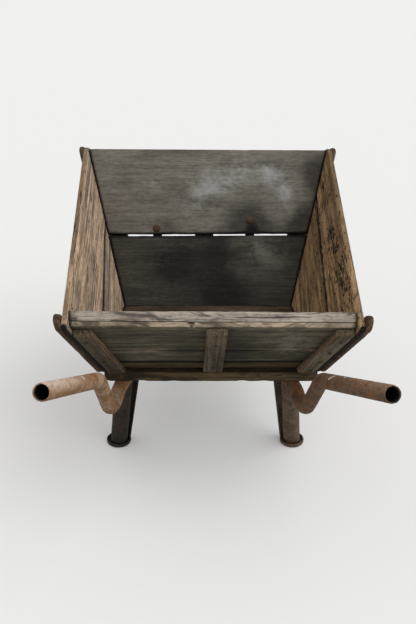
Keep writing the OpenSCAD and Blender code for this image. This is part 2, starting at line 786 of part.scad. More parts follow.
module tail_nail_places() {
    lift = tail_t + cleat_t;
    flare = atan((rim_w - floor_w_rear) / 2 / tail_slope);
    tail_place() {
        for (v = [46, 92, 168]) translate([tail_mid_x + 2, v, lift]) children();
        for (s = [-1, 1], v = [30, 80, 130, 186])
            translate([s * (floor_w_rear / 2 - 24 + v * tan(flare)), v, lift]) children();
    }
}
module tail_nails() {
    color(rust_dark) hopper_place() {
        tail_nail_places() nail(46);
    }
}
module headboard_nail_places() {
    lift = -head_t - cleat_t;
    head_place() {
        for (v = head_nail_v) translate([head_mid_x, v, lift]) rotate([180, 0, 0]) children();
        for (s = [-1, 1], v = head_nail_v)
            translate([s * (floor_w_front / 2 - 24 + v * 0.231), v, lift]) rotate([180, 0, 0]) children();
    }
}
module headboard_nails() color(rust_dark) hopper_place() headboard_nail_places() nail(34);

// Nails through each side batten: a is the distance up the board's slope.
module side_nail_places(s) {
    scale_x(s) side_place() {
        for (a = rear_nail_v)
            translate([side_t + batten_t, -14 - a * 0.67, a]) rotate([0, 90, 0]) children();
        for (a = front_nail_v)
            translate([side_t + batten_t, floor_len + 14 + a * 0.49, a]) rotate([0, 90, 0]) children();
    }
}
module side_nails() color(rust_dark) hopper_place() for (s = [-1, 1]) side_nail_places(s) nail(side_nail_l);

module floor_nail_places() {
    for (x = [-150, -75, 0, 75, 150], y = [-66, 120]) translate([x + hopper_shift, y, floor_z]) children();
}
module floor_nails() color(rust_dark) floor_nail_places() nail(27);

floor_rear_board();
floor_middle_board();
floor_front_board();
headboard_lower_plank();
headboard_upper_plank();
headboard_left_cleat();
headboard_centre_cleat();
headboard_right_cleat();
left_side_lower_plank();
left_side_upper_plank();
right_side_lower_plank();
right_side_upper_plank();
left_rear_batten();
left_front_batten();
right_rear_batten();
right_front_batten();
tail_inner_lower_plank();
tail_inner_upper_plank();
tail_outer_bottom_strip();
tail_outer_lower_plank();
tail_outer_upper_plank();
tail_left_cleat();
tail_centre_cleat();
tail_right_cleat();
rear_cross_beam();
front_cross_beam();
left_handle_pipe();
right_handle_pipe();
left_leg_tube();
right_leg_tube();
left_leg_stay();
right_leg_stay();
left_foot_plate();
right_foot_plate();
left_front_stay();
right_front_stay();
stay_bolts();
stay_nuts();
beam_bolts();
beam_washers();
beam_nuts();
left_axle_plate();
right_axle_plate();
axle();
axle_washers();
split_pins();
wheel_tyre();
wheel_spokes();
wheel_hub();
tail_nails();
headboard_nails();
side_nails();
floor_nails();
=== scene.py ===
import math
from functools import partial

import bmesh
import bpy
import numpy as np
from mathutils import Matrix, Vector


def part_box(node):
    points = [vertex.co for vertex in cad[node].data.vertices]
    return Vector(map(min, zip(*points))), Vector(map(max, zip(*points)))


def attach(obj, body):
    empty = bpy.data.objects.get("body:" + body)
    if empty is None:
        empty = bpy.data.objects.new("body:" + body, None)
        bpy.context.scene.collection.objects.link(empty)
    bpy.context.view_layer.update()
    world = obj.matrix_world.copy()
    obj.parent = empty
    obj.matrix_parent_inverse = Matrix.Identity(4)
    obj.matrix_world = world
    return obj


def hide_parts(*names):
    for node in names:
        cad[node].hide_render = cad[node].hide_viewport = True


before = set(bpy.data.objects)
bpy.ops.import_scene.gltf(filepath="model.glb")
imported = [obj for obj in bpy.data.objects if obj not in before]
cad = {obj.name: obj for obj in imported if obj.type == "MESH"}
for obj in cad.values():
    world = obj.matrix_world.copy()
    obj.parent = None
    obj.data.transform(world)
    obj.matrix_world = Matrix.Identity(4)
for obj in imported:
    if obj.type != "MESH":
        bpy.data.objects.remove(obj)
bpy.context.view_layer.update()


# ---------------------------------------------------------------------------------------------
# Handle pipes. Each side of the barrow is one length of gas pipe, bent cold in four places: the
# open grip, a rise behind the legs, and a straight shaft under the hopper to the axle. It is
# bare steel gone to dry rust, with a few chips of old paint left on top of the rear bends. The
# grip is paler on top, from hands and a painted highlight, and each pipe's underside has painted shade.

def srgb(red, green, blue):
    """A screen colour, 0 to 255 a channel, as the linear colour that the shaders use."""
    c = np.array([red, green, blue]) / 255
    c = np.where(c <= 0.04045, c / 12.92, ((c + 0.055) / 1.055) ** 2.4)
    return (*c.tolist(), 1.0)


def wire(tree, kind, settings=None, **inputs):
    """Adds a node. Inputs are given by socket name, or by number as i0, i1. A socket is linked and a
    value is set."""
    node = tree.nodes.new(kind)
    for key, value in (settings or {}).items():
        setattr(node, key, value)
    for key, value in inputs.items():
        if key[0] == "i" and key[1:].isdigit():
            socket = node.inputs[int(key[1:])]
        else:
            socket = node.inputs[key.replace("_", " ")]
        if isinstance(value, bpy.types.NodeSocket):
            tree.links.new(value, socket)
        else:
            socket.default_value = value
    return node


def noise(tree, place, scale, detail, rough, bend=0.0):
    """Soft random value, about 0.3 to 0.7, at a place times a scale."""
    return wire(tree, "ShaderNodeTexNoise", Vector=place, Scale=scale, Detail=detail,
                Roughness=rough, Distortion=bend).outputs["Fac"]


def calc(operation, tree, a, b=0.0):
    """One step of arithmetic on two values."""
    return wire(tree, "ShaderNodeMath", {"operation": operation}, i0=a, i1=b).outputs[0]


plus, minus, times = partial(calc, "ADD"), partial(calc, "SUBTRACT"), partial(calc, "MULTIPLY")
larger, smaller = partial(calc, "MAXIMUM"), partial(calc, "MINIMUM")


def step(tree, value, low, high):
    """A smooth step: 0 below low, 1 above high."""
    return wire(tree, "ShaderNodeMapRange", {"interpolation_type": "SMOOTHSTEP"}, Value=value,
                From_Min=low, From_Max=high).outputs["Result"]


def spread(tree, value, low, high, to_low, to_high):
    """Stretches low to high over to_low to to_high in a straight line, level beyond both ends."""
    return wire(tree, "ShaderNodeMapRange", Value=value, From_Min=low, From_Max=high, To_Min=to_low,
                To_Max=to_high).outputs["Result"]


def blend(tree, amount, a, b):
    """Colour a where the amount is 0 and colour b where it is 1."""
    return wire(tree, "ShaderNodeMix", {"data_type": "RGBA"}, i0=amount, i6=a, i7=b).outputs[2]


def shade(tree, colour, value):
    """A colour made darker or lighter by a value."""
    return wire(tree, "ShaderNodeMix", {"data_type": "RGBA", "blend_type": "MULTIPLY"},
                i0=1.0, i6=colour, i7=value).outputs[2]


def attribute(tree, name, output="Fac"):
    """What a mesh attribute holds at each point, or 0 where the mesh has none."""
    return wire(tree, "ShaderNodeAttribute", {"attribute_name": name}).outputs[output]


def new_group(name, inputs, outputs):
    """An empty shader node group with named sockets. Returns its tree, input node and output node."""
    tree = bpy.data.node_groups.new(name, "ShaderNodeTree")
    for label, default in inputs.items():
        kind = {3: "NodeSocketVector", 4: "NodeSocketColor"}[len(default)] if isinstance(default, tuple) \
            else "NodeSocketFloat"
        tree.interface.new_socket(name=label, in_out="INPUT", socket_type=kind).default_value = default
    for label, kind in outputs.items():
        tree.interface.new_socket(name=label, in_out="OUTPUT", socket_type="NodeSocket" + kind)
    return tree, tree.nodes.new("NodeGroupInput"), tree.nodes.new("NodeGroupOutput")


GREY = (0.5, 0.5, 0.5, 1.0)
rust_tree, rust_in, rust_out = new_group(
    "dry rust",
    {"Place": (0.0, 0.0, 0.0), "Main": GREY, "Pale": GREY, "Dark": GREY, "Orange": GREY, "Bore": 0.0,
     "Paint": 0.0, "Rubbed": 0.0, "Pale amount": 0.5, "Dark amount": 0.5, "Orange amount": 0.5},
    {"Colour": "Color", "Height": "Float", "Roughness": "Float"})


def build_rust(t, g, out):
    """Clouds of pale bloom and orange blooms, dark scabs a few millimetres across, and a grit that pits
    them. The bore goes near black. Paint leaves hard-edged chips where it is above the scabs' own value.
    Above 0, the hand wear and shading input makes the steel paler with less orange: hand wear, with a
    painted highlight on the upper side. Below 0 it makes the steel dark, as painted shade."""
    place = g.outputs["Place"]
    cloud = noise(t, place, 17.0, 5.0, 0.62, 0.5)
    patchy = noise(t, place, 60.0, 6.0, 0.70, 0.4)
    scab = noise(t, place, 120.0, 5.0, 0.70, 0.3)
    grit = noise(t, place, 560.0, 3.0, 0.65)
    pit = wire(t, "ShaderNodeTexVoronoi", Vector=place, Scale=300.0).outputs["Distance"]
    # Above 0: hand wear and a painted highlight, paler with less orange. Below 0: painted shade, dark.
    hand_wear_and_highlight = larger(t, g.outputs["Rubbed"], 0.0)
    painted_underside_shade = larger(t, times(t, g.outputs["Rubbed"], -1.0), 0.0)
    pale = step(t, plus(t, cloud, times(t, patchy, 0.6)), 0.76, 0.92)
    pale = larger(t, times(t, pale, g.outputs["Pale amount"]), times(t, hand_wear_and_highlight, 0.85))
    orange = step(t, minus(t, times(t, patchy, 1.4), times(t, cloud, 0.5)), 0.44, 0.66)
    orange = times(t, times(t, orange, g.outputs["Orange amount"]), minus(t, 1.0, times(t, hand_wear_and_highlight, 0.6)))
    dark = step(t, plus(t, times(t, scab, 0.8), times(t, patchy, 0.5)), 0.63, 0.74)
    dark = larger(t, times(t, dark, g.outputs["Dark amount"]), painted_underside_shade)
    colour = blend(t, pale, g.outputs["Main"], g.outputs["Pale"])
    colour = blend(t, orange, colour, g.outputs["Orange"])
    colour = blend(t, dark, colour, g.outputs["Dark"])
    speck = plus(t, plus(t, times(t, grit, 0.25), times(t, scab, 0.45)), times(t, patchy, 0.30))
    colour = shade(t, colour, spread(t, speck, 0.38, 0.62, 0.40, 1.60))
    chip = step(t, plus(t, g.outputs["Paint"], times(t, scab, 0.5)), 0.62, 0.68)
    colour = blend(t, times(t, chip, 0.85), colour, srgb(196, 184, 166))
    colour = blend(t, g.outputs["Bore"], colour, (0.006, 0.005, 0.004, 1.0))
    t.links.new(colour, out.inputs["Colour"])
    height = plus(t, times(t, scab, 0.8), times(t, grit, 0.35))
    height = minus(t, height, times(t, step(t, pit, 0.32, 0.05), 0.3))
    t.links.new(plus(t, height, times(t, chip, 0.15)), out.inputs["Height"])
    t.links.new(spread(t, scab, 0.3, 0.7, 0.92, 0.66), out.inputs["Roughness"])


build_rust(rust_tree, rust_in, rust_out)


def new_finish(name, roughness=0.85, specular=0.25):
    """A material with a plain Principled shader: returns it, its tree and its shader."""
    finish = bpy.data.materials.new(name)
    finish.use_nodes = True
    tree = finish.node_tree
    shader = tree.nodes["Principled BSDF"]
    shader.inputs["Roughness"].default_value = roughness
    shader.inputs["Specular IOR Level"].default_value = specular
    return finish, tree, shader


def dress(tree, shader, effect, strength, depth):
    """Feeds a group's colour, roughness and height to a shader: depth is the relief in metres."""
    tree.links.new(effect.outputs["Colour"], shader.inputs["Base Color"])
    tree.links.new(effect.outputs["Roughness"], shader.inputs["Roughness"])
    bump = wire(tree, "ShaderNodeBump", Strength=strength, Distance=depth, Height=effect.outputs["Height"])
    tree.links.new(bump.outputs["Normal"], shader.inputs["Normal"])


def rust_finish(name, main, pale, dark, orange, pale_amount, dark_amount, orange_amount):
    """Rusted steel in four colours. The bore, paint and rubbed attributes are 0 on a mesh that has none.
    The rubbed attribute holds hand wear, a painted highlight and painted shade.
    """
    finish, tree, shader = new_finish(name)
    rust = wire(tree, "ShaderNodeGroup", {"node_tree": rust_tree},
                Place=tree.nodes.new("ShaderNodeTexCoord").outputs["Object"], Main=srgb(*main),
                Pale=srgb(*pale), Dark=srgb(*dark), Orange=srgb(*orange), Bore=attribute(tree, "bore"),
                Paint=attribute(tree, "paint"), Rubbed=attribute(tree, "rubbed"), Pale_amount=pale_amount,
                Dark_amount=dark_amount, Orange_amount=orange_amount)
    dress(tree, shader, rust, 0.7, 0.0012)
    return finish


def add_mesh(name, points, faces, body, nodes, finish):
    """A smooth mesh from arrays of points and four-sided faces, turned right side out, that stands for the
    CAD nodes named."""
    tris = np.concatenate([faces[:, [0, 1, 2]], faces[:, [0, 2, 3]]])
    a, b, c = (points[tris[:, k]] for k in range(3))
    if np.einsum("ij,ij->", a, np.cross(b, c)) < 0:
        faces = faces[:, ::-1]
    mesh = bpy.data.meshes.new(name)
    mesh.from_pydata(points.tolist(), [], faces.tolist())
    mesh.polygons.foreach_set("use_smooth", np.full(len(mesh.polygons), True))
    mesh.materials.append(finish)
    mesh.validate()
    piece = bpy.data.objects.new(name, mesh)
    bpy.context.scene.collection.objects.link(piece)
    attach(piece, body)
    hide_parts(*nodes)
    return piece


def closed_sheet(rows, poles=False):
    """Points and four-sided faces of a grid of rows, joined round each row. The rows join end to end too,
    or with poles the first and last row each shrink to their middle."""
    count, across = rows.shape[:2]
    ring = np.arange(across)
    last = count - 1 if poles else count
    start = (np.arange(last)[:, None] * across + ring).ravel()
    right = (np.arange(last)[:, None] * across + (ring + 1) % across).ravel()
    down = across * count
    faces = np.stack([start, (start + across) % down, (right + across) % down, right], axis=1)
    points = rows.reshape(-1, 3).copy()
    if poles:
        points[:across] = rows[0].mean(axis=0)
        points[-across:] = rows[-1].mean(axis=0)
    return points, faces


def keep(piece, name, values, kind="FLOAT", field="value"):
    """Stores one value, or one vector, for each point of a mesh."""
    data = piece.data.attributes.new(name, kind, "POINT").data
    data.foreach_set(field, np.ravel(values).astype(np.float32))


def weld(piece):
    """Joins points that lie together, as at a pole."""
    work = bmesh.new()
    work.from_mesh(piece.data)
    bmesh.ops.remove_doubles(work, verts=work.verts, dist=1e-6)
    work.to_mesh(piece.data)
    work.free()


def soft_noise(places, seed):
    """Random values from 0 to 1 at each unit step of a lattice, eased between, at an array of points."""
    lattice = np.random.default_rng(seed).random((32, 32, 32))
    cell = np.floor(places).astype(int)
    part = places - cell
    part = part * part * (3 - 2 * part)
    total = np.zeros(places.shape[:-1])
    for corner in np.ndindex(2, 2, 2):
        at = (cell + corner) % 32
        share = np.prod(np.where(corner, part, 1 - part), axis=-1)
        total += share * lattice[at[..., 0], at[..., 1], at[..., 2]]
    return total


def bent_line(corners, radius, spacing):
    """A centre line of straights and circular bends. At each corner the arc starts radius x tan(half the
    turn) before it, and the points are set at an even spacing."""
    corners = np.array(corners, float)
    line = [corners[:1]]
    for before, corner, after in zip(corners, corners[1:], corners[2:]):
        u = (corner - before) / np.linalg.norm(corner - before)
        w = (after - corner) / np.linalg.norm(after - corner)
        turn = math.acos(np.clip(u @ w, -1, 1))
        inward = (w - (w @ u) * u) / math.sin(turn)
        start = corner - u * radius * math.tan(turn / 2)
        angle = np.linspace(0, turn, 9)[:, None]
        line.append(start + radius * (inward * (1 - np.cos(angle)) + u * np.sin(angle)))
    line.append(corners[-1:])
    line = np.concatenate(line)
    run = np.concatenate([[0], np.cumsum(np.linalg.norm(np.diff(line, axis=0), axis=1))])
    even = np.linspace(0, run[-1], int(run[-1] / spacing) + 1)
    return np.stack([np.interp(even, run, line[:, k]) for k in range(3)], axis=1)


def carried_circle(line, radii):
    """A circle carried along a line and square to it, with its first point towards x. radii has a row of
    radii round the circle for each point of the line."""
    along = np.gradient(line, axis=0)
    along /= np.linalg.norm(along, axis=1, keepdims=True)
    x = np.array([1.0, 0.0, 0.0]) - along[:, :1] * along
    x /= np.linalg.norm(x, axis=1, keepdims=True)
    y = np.cross(along, x)
    turn = np.linspace(0, 2 * np.pi, radii.shape[1], endpoint=False)[:, None]
    return line[:, None] + radii[..., None] * (np.cos(turn) * x[:, None] + np.sin(turn) * y[:, None])


def pipe_rows(line, outside, wall, sides, seed):
    """An open pipe: the outer circle carried forward, the bore carried back, both lips rounded. Rust pits
    and the hammer's flats take up to 0.6 mm off the outside."""
    shape = (len(line), sides)
    along, round_it = np.indices(shape)
    where = np.stack([along * 0.9, round_it * 0.45, np.full(shape, 3.0)], axis=-1)
    pits = 0.0004 * soft_noise(where, seed) ** 2 + 0.0002 * soft_noise(where * 0.21, seed + 1)
    outer = np.full(shape, outside) - pits
    inner = np.full(shape, outside - wall)
    lip = 0.0008
    outer[[0, -1]] -= lip
    inner[[0, -1]] += lip
    return np.concatenate([carried_circle(line, outer), carried_circle(line, inner)[::-1]])


PIPE_R, PIPE_WALL, BEND_R = 0.01685, 0.0032, 0.072
SHAFT_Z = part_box("front_cross_beam")[0].z - PIPE_R
SHAFT_FRONT, SHAFT_REAR = (0.058, 0.397), (0.2069, -0.141)


def pipe_line(side, grip_x, grip_z):
    """Centre line of one pipe, from the axle back along the shaft, round the bends and up to the grip."""
    corners = [(SHAFT_FRONT[0], 0.456, SHAFT_Z), (*SHAFT_FRONT, SHAFT_Z), (*SHAFT_REAR, SHAFT_Z),
               (0.220, -0.206, SHAFT_Z - 0.025), (0.232, -0.323, 0.371), (grip_x, -0.605, grip_z)]
    return bent_line(corners, BEND_R, 0.005) * (side, 1, 1)


PIPE_SIDES = {"left": (-1, 0.297, 0.527), "right": (1, 0.305, 0.523)}
pipe_finishes = {
    "left": rust_finish("left pipe rust", (133, 100, 65), (226, 201, 182), (72, 54, 36), (168, 114, 60),
                        0.3, 0.6, 0.8),
    "right": rust_finish("right pipe rust", (92, 68, 47), (150, 120, 94), (38, 29, 23), (144, 90, 48),
                         0.35, 0.7, 0.9),
}
# Where paint is left: a place on the pipe and how far the chip reaches.
PAINT_CHIPS = {
    "left": [(-0.2514, -0.4244, 0.4452, 0.007), (-0.2475, -0.4333, 0.4463, 0.006),
             (-0.2590, -0.5090, 0.4794, 0.005)],
    "right": [(0.2435, -0.3904, 0.4244, 0.008), (0.2348, -0.3872, 0.4153, 0.007),
              (0.2572, -0.4295, 0.4469, 0.007)],
}
for seed, (name, (side, grip_x, grip_z)) in enumerate(PIPE_SIDES.items()):
    line = pipe_line(side, grip_x, grip_z)
    rows = pipe_rows(line, PIPE_R, PIPE_WALL, 40, 10 + seed)
    points, faces = closed_sheet(rows)
    pipe = add_mesh(name + "_handle", points, faces, "barrow", [name + "_handle_pipe"],
                    pipe_finishes[name])
    keep(pipe, "bore", np.repeat(np.arange(len(rows)) > len(rows) // 2, rows.shape[1]))
    paint = sum(np.exp(-((points - (x, y, z)) ** 2).sum(axis=1) / radius ** 2)
                for x, y, z, radius in PAINT_CHIPS[name])
    keep(pipe, "paint", 0.5 * paint)
    # rubbed: above 0 on the upper side of the grip, hand wear and a painted highlight; below 0 under the
    # whole pipe, painted shade.
    middle = line[np.minimum(np.arange(len(rows)), len(line) - 1)]
    upper = (points[:, 2] - np.repeat(middle[:, 2], rows.shape[1])) / PIPE_R
    grip_wear_and_highlight = np.clip((-points[:, 1] - 0.40) / 0.12, 0, 1) * np.clip(upper + 0.3, 0, 1)
    keep(pipe, "rubbed", grip_wear_and_highlight - 0.7 * np.clip(-upper - 0.1, 0, 1))


# ---------------------------------------------------------------------------------------------
# Legs. A piece of thicker tube is welded under each shaft just ahead of the bend. It leans
# forward and stands in a round pressed plate with a turned-up rim. A channel stay beside it
# ties the plate to the shaft. All of it is dark rust.

LEG_R, LEG_WALL = 0.0212, 0.0032
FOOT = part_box("right_foot_plate")
FOOT_X, FOOT_Y = (FOOT[0].x + FOOT[1].x) / 2, (FOOT[0].y + FOOT[1].y) / 2
FOOT_R, FOOT_H, FOOT_T = (FOOT[1].x - FOOT[0].x) / 2, FOOT[1].z, 0.004
LEG_TOP = np.array([0.199, -0.088, SHAFT_Z])
SHAFT_BY_LEG = (0.200, -0.116)

leg_finishes = {
    "left": rust_finish("left leg rust", (41, 37, 29), (70, 62, 49), (24, 21, 17), (88, 58, 38),
                        0.35, 0.6, 0.4),
    "right": rust_finish("right leg rust", (86, 71, 57), (122, 107, 89), (49, 40, 33), (106, 78, 53),
                         0.5, 0.6, 0.5),
}


def leg_rows(side):
    """A leaning tube whose upper end is cut to the round of the shaft. At each place round it, its side runs
    up to the shaft's underside, z = shaft - sqrt(pipe radius squared - distance from its middle squared)."""
    foot = np.array([FOOT_X, FOOT_Y, FOOT_T])
    lean = (LEG_TOP - foot) / (LEG_TOP - foot)[2]
    steps, sides = 40, 48
    turn = np.linspace(0, 2 * np.pi, sides, endpoint=False)
    shaft_slope = (SHAFT_FRONT[0] - SHAFT_BY_LEG[0]) / (SHAFT_FRONT[1] - SHAFT_BY_LEG[1])
    shells = []
    for radius in (LEG_R, LEG_R - LEG_WALL):
        base = foot + radius * np.stack([np.cos(turn), np.sin(turn), 0 * turn], axis=1)
        top = base + lean * (SHAFT_Z - FOOT_T)
        middle = SHAFT_BY_LEG[0] + shaft_slope * (top[:, 1] - SHAFT_BY_LEG[1])
        off = np.clip(np.abs(top[:, 0] - middle), 0, PIPE_R)
        reach = SHAFT_Z - FOOT_T - np.sqrt(PIPE_R ** 2 - off ** 2)
        climb = np.linspace(0, 1, steps)[:, None, None] * reach[None, :, None]
        shells.append(base + climb * lean)
    outer, inner = shells
    along, round_it = np.indices((steps, sides))
    where = np.stack([along * 0.9, round_it * 0.4, np.ones((steps, sides))], axis=-1)
    outward = outer - outer.mean(axis=1, keepdims=True)
    outer = outer - outward / LEG_R * (0.0005 * soft_noise(where, 31 + side)[..., None] ** 2)
    return np.concatenate([outer, inner[::-1]]) * (side, 1, 1)


def dish_rows(side):
    """A pressed dish turned about its own axis. The outline, in parts of its radius and height, runs from
    the middle of the underside, round the rolled rim, down the inside and back to the middle. The rim is
    knocked in by up to 1 mm here and there."""
    outline = np.array([(0, 0), (0.4, 0), (0.8, 0), (0.87, 0), (0.94, 0.08), (0.98, 0.2), (1.0, 0.45),
                        (1.0, 0.8), (0.98, 0.95), (0.95, 1.0), (0.91, 0.97), (0.89, 0.85), (0.885, 0.6),
                        (0.87, 0.45), (0.83, 0.38), (0.6, 0.36), (0.3, 0.36), (0, 0.36)])
    turn = np.linspace(0, 2 * np.pi, 64, endpoint=False)
    knock = 0.001 * soft_noise(np.stack([turn * 1.6, 0 * turn, 0 * turn + side], -1), 41)
    radius = outline[:, :1] * (FOOT_R - knock * outline[:, 1:])
    rows = np.stack([radius * np.cos(turn), radius * np.sin(turn),
                     np.broadcast_to(outline[:, 1:] * FOOT_H, radius.shape)], axis=-1)
    return (rows + (FOOT_X, FOOT_Y, 0)) * (side, 1, 1)


for name, (side, _, _) in PIPE_SIDES.items():
    points, faces = closed_sheet(leg_rows(side))
    add_mesh(name + "_leg", points, faces, "barrow", [name + "_leg_tube"], leg_finishes[name])
    points, faces = closed_sheet(dish_rows(side), poles=True)
    weld(add_mesh(name + "_foot", points, faces, "barrow", [name + "_foot_plate"],
                  leg_finishes[name]))
    cad[name + "_leg_stay"].data.materials[0] = leg_finishes[name]


# ---------------------------------------------------------------------------------------------
# Wheel and axle. A flat iron tyre on round spokes, riveted into a turned hub that runs on a
# plain bar. The bar is held in two plates under the shafts' ends by washers and split pins.

wheel_finish = rust_finish("wheel rust", (98, 72, 54), (132, 104, 82), (54, 40, 31), (134, 88, 54),
                           0.5, 0.6, 0.5)
axle_finish = rust_finish("axle rust", (84, 66, 52), (116, 96, 78), (46, 37, 31), (114, 78, 52),
                          0.4, 0.6, 0.4)
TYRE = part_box("wheel_tyre")
AXLE_Y, AXLE_Z = (TYRE[0].y + TYRE[1].y) / 2, (TYRE[0].z + TYRE[1].z) / 2
WHEEL_R, TYRE_W, TYRE_T = (TYRE[1].z - TYRE[0].z) / 2, TYRE[1].x - TYRE[0].x, 0.006
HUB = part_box("wheel_hub")
HUB_W, HUB_R = HUB[1].x - HUB[0].x, (HUB[1].z - HUB[0].z) / 2
BORE_R, SPOKES, SPOKE_R = 0.00808, 8, 0.006


def turned(outline, sides):
    """An outline of (radius, distance along the axle) points, turned about the axle."""
    turn = np.linspace(0, 2 * np.pi, sides, endpoint=False)
    radius, along = outline[:, :1], outline[:, 1:]
    return np.stack([np.broadcast_to(along, (len(outline), sides)), AXLE_Y + radius * np.cos(turn),
                     AXLE_Z + radius * np.sin(turn)], axis=-1)


def both_edges(edge):
    """An outline from one edge of it and that edge's mirror image across the wheel's middle plane."""
    return np.array(edge + [(radius, -along) for radius, along in edge[::-1]])


half, inside = TYRE_W / 2, WHEEL_R - TYRE_T
tyre_outline = both_edges([(inside, half / 2), (inside, half - 0.0015), (inside + 0.0012, half),
                           (WHEEL_R - 0.0025, half), (WHEEL_R - 0.0012, half - 0.0012),
                           (WHEEL_R - 0.0003, half - 0.004), (WHEEL_R, half / 2)])
points, faces = closed_sheet(turned(tyre_outline, 180))
add_mesh("tyre", points, faces, "wheel", ["wheel_tyre"], wheel_finish)

half = HUB_W / 2
hub_outline = both_edges([(BORE_R, half - 0.001), (BORE_R + 0.001, half), (HUB_R * 0.62, half),
                          (HUB_R * 0.68, half - 0.002), (HUB_R * 0.70, half * 0.62),
                          (HUB_R * 0.92, half * 0.5), (HUB_R, half * 0.40)])
points, faces = closed_sheet(turned(np.append(hub_outline, [(BORE_R, 0.0)], axis=0), 64))
add_mesh("hub", points, faces, "wheel", ["wheel_hub"], wheel_finish)


def spoke_rows(angle, seed):
    """One round spoke from the hub to the tyre, upset thicker at both ends, with pitted sides."""
    steps, sides = 36, 14
    out = np.linspace(HUB_R - 0.002, WHEEL_R - TYRE_T + 0.0002, steps)
    line = np.stack([0 * out, AXLE_Y + out * math.cos(angle), AXLE_Z + out * math.sin(angle)], axis=1)
    ends = np.minimum(out - out[0], out[-1] - out)
    thin = SPOKE_R - 0.0009 * np.clip(ends / 0.012, 0, 1)
    along, round_it = np.indices((steps, sides))
    where = np.stack([along * 0.8, round_it * 0.9, np.full((steps, sides), seed)], axis=-1)
    radii = thin[:, None] - 0.0003 * soft_noise(where, 50)
    rows = carried_circle(line, radii)
    return np.concatenate([rows[:1], rows, rows[-1:]])


sheets = [closed_sheet(spoke_rows((k + 0.5) * 2 * math.pi / SPOKES, k), poles=True) for k in range(SPOKES)]
points = np.concatenate([points for points, _ in sheets])
faces = np.concatenate([faces + k * len(sheets[0][0]) for k, (_, faces) in enumerate(sheets)])
weld(add_mesh("spokes", points, faces, "wheel", ["wheel_spokes"], wheel_finish))
for name in ("left_axle_plate", "right_axle_plate", "axle", "axle_washers", "split_pins"):
    cad[name].data.materials[0] = axle_finish


# ---------------------------------------------------------------------------------------------
# Cross beams. Two sawn boards lie on the shafts and carry the hopper. They are bolted down
# through the pipes with coach bolts, washers and nuts, and have gone dark and furred with age.

grain_tree, grain_in, grain_out = new_group(
    "weathered grain",
    {"Grain": (0.0, 0.0, 0.0), "Worn": 0.0, "Top": 0.0, "Stain": 0.0, "Middle": GREY, "Pale": GREY,
     "Dark": GREY, "Edge": GREY, "Dust": GREY, "Streaks": 0.5, "Cracks": 0.5, "Flecks": 0.3,
     "Blotches": 0.5, "Soak": 1.0},
    {"Colour": "Color", "Height": "Float", "Roughness": "Float"})


def stretched(t, place, along, across):
    """A place on a board, scaled one way along its grain and another way across it."""
    return wire(t, "ShaderNodeVectorMath", {"operation": "MULTIPLY"}, i0=place,
                i1=(along, across, across)).outputs[0]


